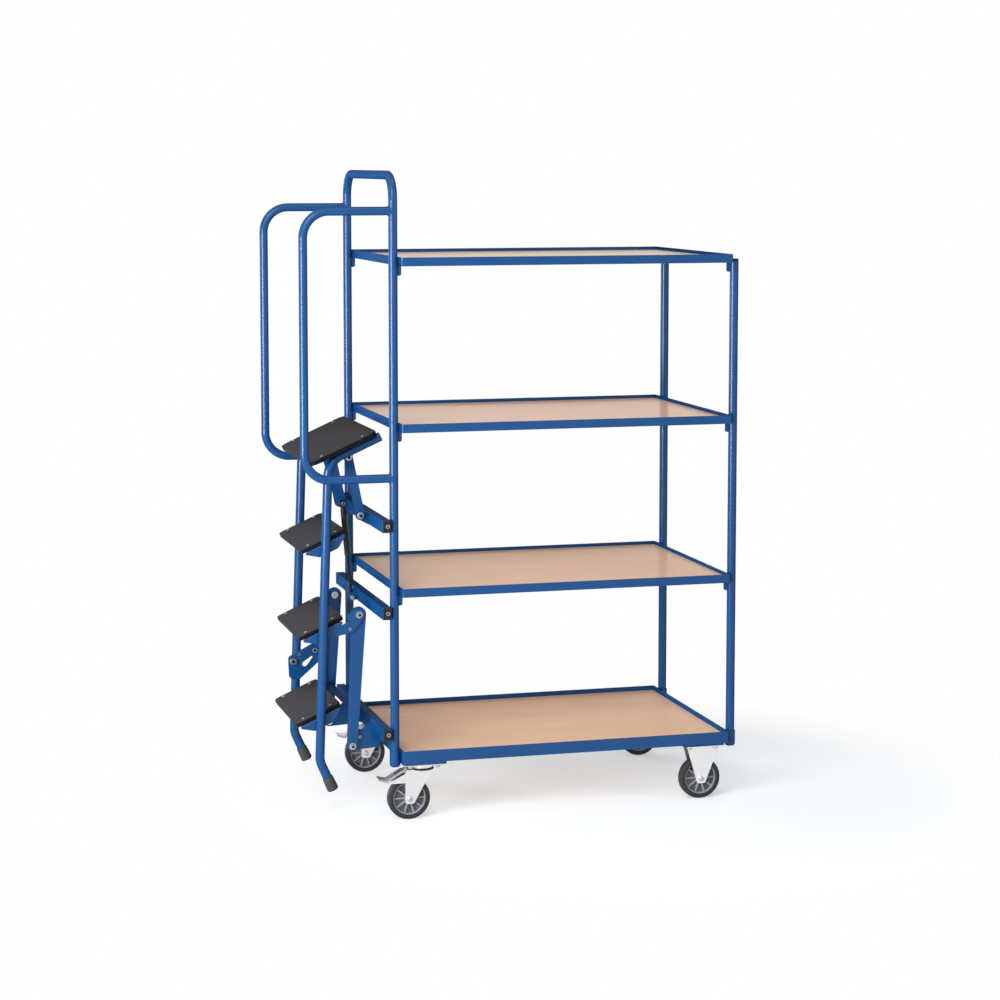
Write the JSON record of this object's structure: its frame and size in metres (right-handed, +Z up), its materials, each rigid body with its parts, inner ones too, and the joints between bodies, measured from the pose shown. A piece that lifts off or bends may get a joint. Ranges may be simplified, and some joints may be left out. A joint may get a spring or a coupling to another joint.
{
  "type": "order picking trolley",
  "caption": "Tall order picking trolley with wood-panel decks in a tubular steel frame, push handle, handrails and a gas-sprung linkage ladder that swings down to the floor.",
  "frame": {"origin": "on the floor under the middle of the overall box", "axes": "+X along the trolley away from the ladder, +Y to the back, +Z up"},
  "size_m": [1.32, 0.7, 1.88],
  "materials": {
    "blue_paint": "glossy powder coat",
    "beech_panel": "satin beech decor board",
    "tread_board": "dark anti-slip film on plywood",
    "zinc_steel": "bright zinc plate",
    "black_plastic": "moulded black",
    "foot_rubber": "moulded dark grey",
    "gas_black": "black lacquer",
    "rod_steel": "polished dark rod",
    "wheel_plastic": "moulded grey",
    "wheel_tyre": "matt dark grey rubber"
  },
  "bodies": {
    "base": {"push_handle_tube": "blue_paint", "right_posts": "blue_paint", "deck_frame_bottom": "blue_paint", "deck_frame_second": "blue_paint", "deck_frame_third": "blue_paint", "deck_frame_top": "blue_paint", "handrail_front": "blue_paint", "handrail_back": "blue_paint", "crossbar_upper": "blue_paint", "crossbar_middle": "blue_paint", "crossbar_lower": "blue_paint", "upper_link_lugs": "blue_paint", "lower_link_brackets": "blue_paint", "gas_spring_bracket": "blue_paint", "deck_panel_bottom": "beech_panel", "deck_panel_second": "beech_panel", "deck_panel_third": "beech_panel", "deck_panel_top": "beech_panel", "lower_pivot_bolts": "zinc_steel", "caster_plates": "zinc_steel", "fixed_fork_front": "zinc_steel", "fixed_fork_back": "zinc_steel", "post_caps": "black_plastic", "crossbar_caps": "black_plastic"},
    "lower_links": {"lower_link_front": "blue_paint", "lower_link_back": "blue_paint", "lower_link_brace": "blue_paint"},
    "ladder": {"ladder_stringer_front": "blue_paint", "ladder_stringer_back": "blue_paint", "ladder_feet": "foot_rubber", "ladder_platform_board": "tread_board", "ladder_step_low": "tread_board", "ladder_step_middle": "tread_board", "ladder_step_high": "tread_board", "step_brackets_low": "blue_paint", "step_brackets_high": "blue_paint", "ladder_arm_front": "blue_paint", "ladder_arm_back": "blue_paint", "ladder_pivot_bolts": "zinc_steel", "platform_lugs": "blue_paint", "platform_lug_bolts": "zinc_steel", "lock_plate": "blue_paint", "gas_lever_plate": "blue_paint"},
    "upper_links": {"upper_link_front": "blue_paint", "upper_link_back": "blue_paint", "upper_link_pins": "zinc_steel"},
    "gas_rod": {"gas_spring_rod": "rod_steel"},
    "gas_cylinder": {"gas_spring_cylinder": "gas_black"},
    "swivel_front": {"swivel_fork_front": "zinc_steel"},
    "swivel_back": {"swivel_fork_back": "zinc_steel"},
    "pedal_front": {"brake_pedal_front": "zinc_steel"},
    "pedal_back": {"brake_pedal_back": "zinc_steel"},
    "wheel_left_front": {"wheel_core_left_front": "wheel_plastic", "tyre_left_front": "wheel_tyre"},
    "wheel_left_back": {"wheel_core_left_back": "wheel_plastic", "tyre_left_back": "wheel_tyre"},
    "wheel_right_front": {"wheel_core_right_front": "wheel_plastic", "tyre_right_front": "wheel_tyre"},
    "wheel_right_back": {"wheel_core_right_back": "wheel_plastic", "tyre_right_back": "wheel_tyre"}
  },
  "joints": [
    {"name": "lower_link_swing", "type": "hinge", "parent": "base", "child": "lower_links", "pos_m": [-0.4849, 0, 0.1962], "axis": [0, -1, 0], "range_deg": [0, 55.59], "stiffness_Nm_per_rad": 55, "springref_deg": -2.86},
    {"name": "ladder_swing", "type": "hinge", "parent": "lower_links", "child": "ladder", "pos_m": [-0.4638, 0, 0.5876], "axis": [0, 1, 0], "range_deg": [0, 79.8]},
    {"name": "upper_link_swing", "type": "hinge", "parent": "ladder", "child": "upper_links", "pos_m": [-0.48656, 0, 1.04858], "axis": [0, -1, 0], "range_deg": [0, 106.14]},
    {"name": "gas_spring_lean", "type": "hinge", "parent": "base", "child": "gas_rod", "pos_m": [-0.4403, 0.032, 0.603], "axis": [0, -1, 0], "range_deg": [0, 60.5]},
    {"name": "gas_spring_stroke", "type": "slide", "parent": "gas_rod", "child": "gas_cylinder", "axis": [0.088, 0, -0.9961], "range_m": [0, 0.02901]},
    {"name": "caster_swivel_front", "type": "hinge", "parent": "base", "child": "swivel_front", "pos_m": [-0.3045, -0.298, 0.155], "axis": [0, 0, 1], "continuous": true},
    {"name": "wheel_spin_left_front", "type": "hinge", "parent": "swivel_front", "child": "wheel_left_front", "pos_m": [-0.3445, -0.298, 0.0625], "axis": [0, 1, 0], "continuous": true},
    {"name": "brake_pedal_press_front", "type": "hinge", "parent": "swivel_front", "child": "pedal_front", "pos_m": [-0.3495, -0.298, 0.143], "axis": [0, -1, 0], "range_deg": [0, 10]},
    {"name": "wheel_spin_right_front", "type": "hinge", "parent": "base", "child": "wheel_right_front", "pos_m": [0.5555, -0.288, 0.0625], "axis": [0, 1, 0], "continuous": true},
    {"name": "caster_swivel_back", "type": "hinge", "parent": "base", "child": "swivel_back", "pos_m": [-0.3045, 0.298, 0.155], "axis": [0, 0, 1], "continuous": true},
    {"name": "wheel_spin_left_back", "type": "hinge", "parent": "swivel_back", "child": "wheel_left_back", "pos_m": [-0.3445, 0.298, 0.0625], "axis": [0, 1, 0], "continuous": true},
    {"name": "brake_pedal_press_back", "type": "hinge", "parent": "swivel_back", "child": "pedal_back", "pos_m": [-0.3495, 0.298, 0.143], "axis": [0, -1, 0], "range_deg": [0, 10]},
    {"name": "wheel_spin_right_back", "type": "hinge", "parent": "base", "child": "wheel_right_back", "pos_m": [0.5555, 0.288, 0.0625], "axis": [0, 1, 0], "continuous": true}
  ],
  "couplings": [
    {"joint": "ladder_swing", "follows": "lower_link_swing", "ratio": 1.4353},
    {"joint": "upper_link_swing", "follows": "lower_link_swing", "ratio": 1.9092},
    {"joint": "gas_spring_lean", "follows": "lower_link_swing", "ratio": 1.0881},
    {"joint": "gas_spring_stroke", "follows": "lower_link_swing", "m_per_rad": 0.02989}
  ]
}
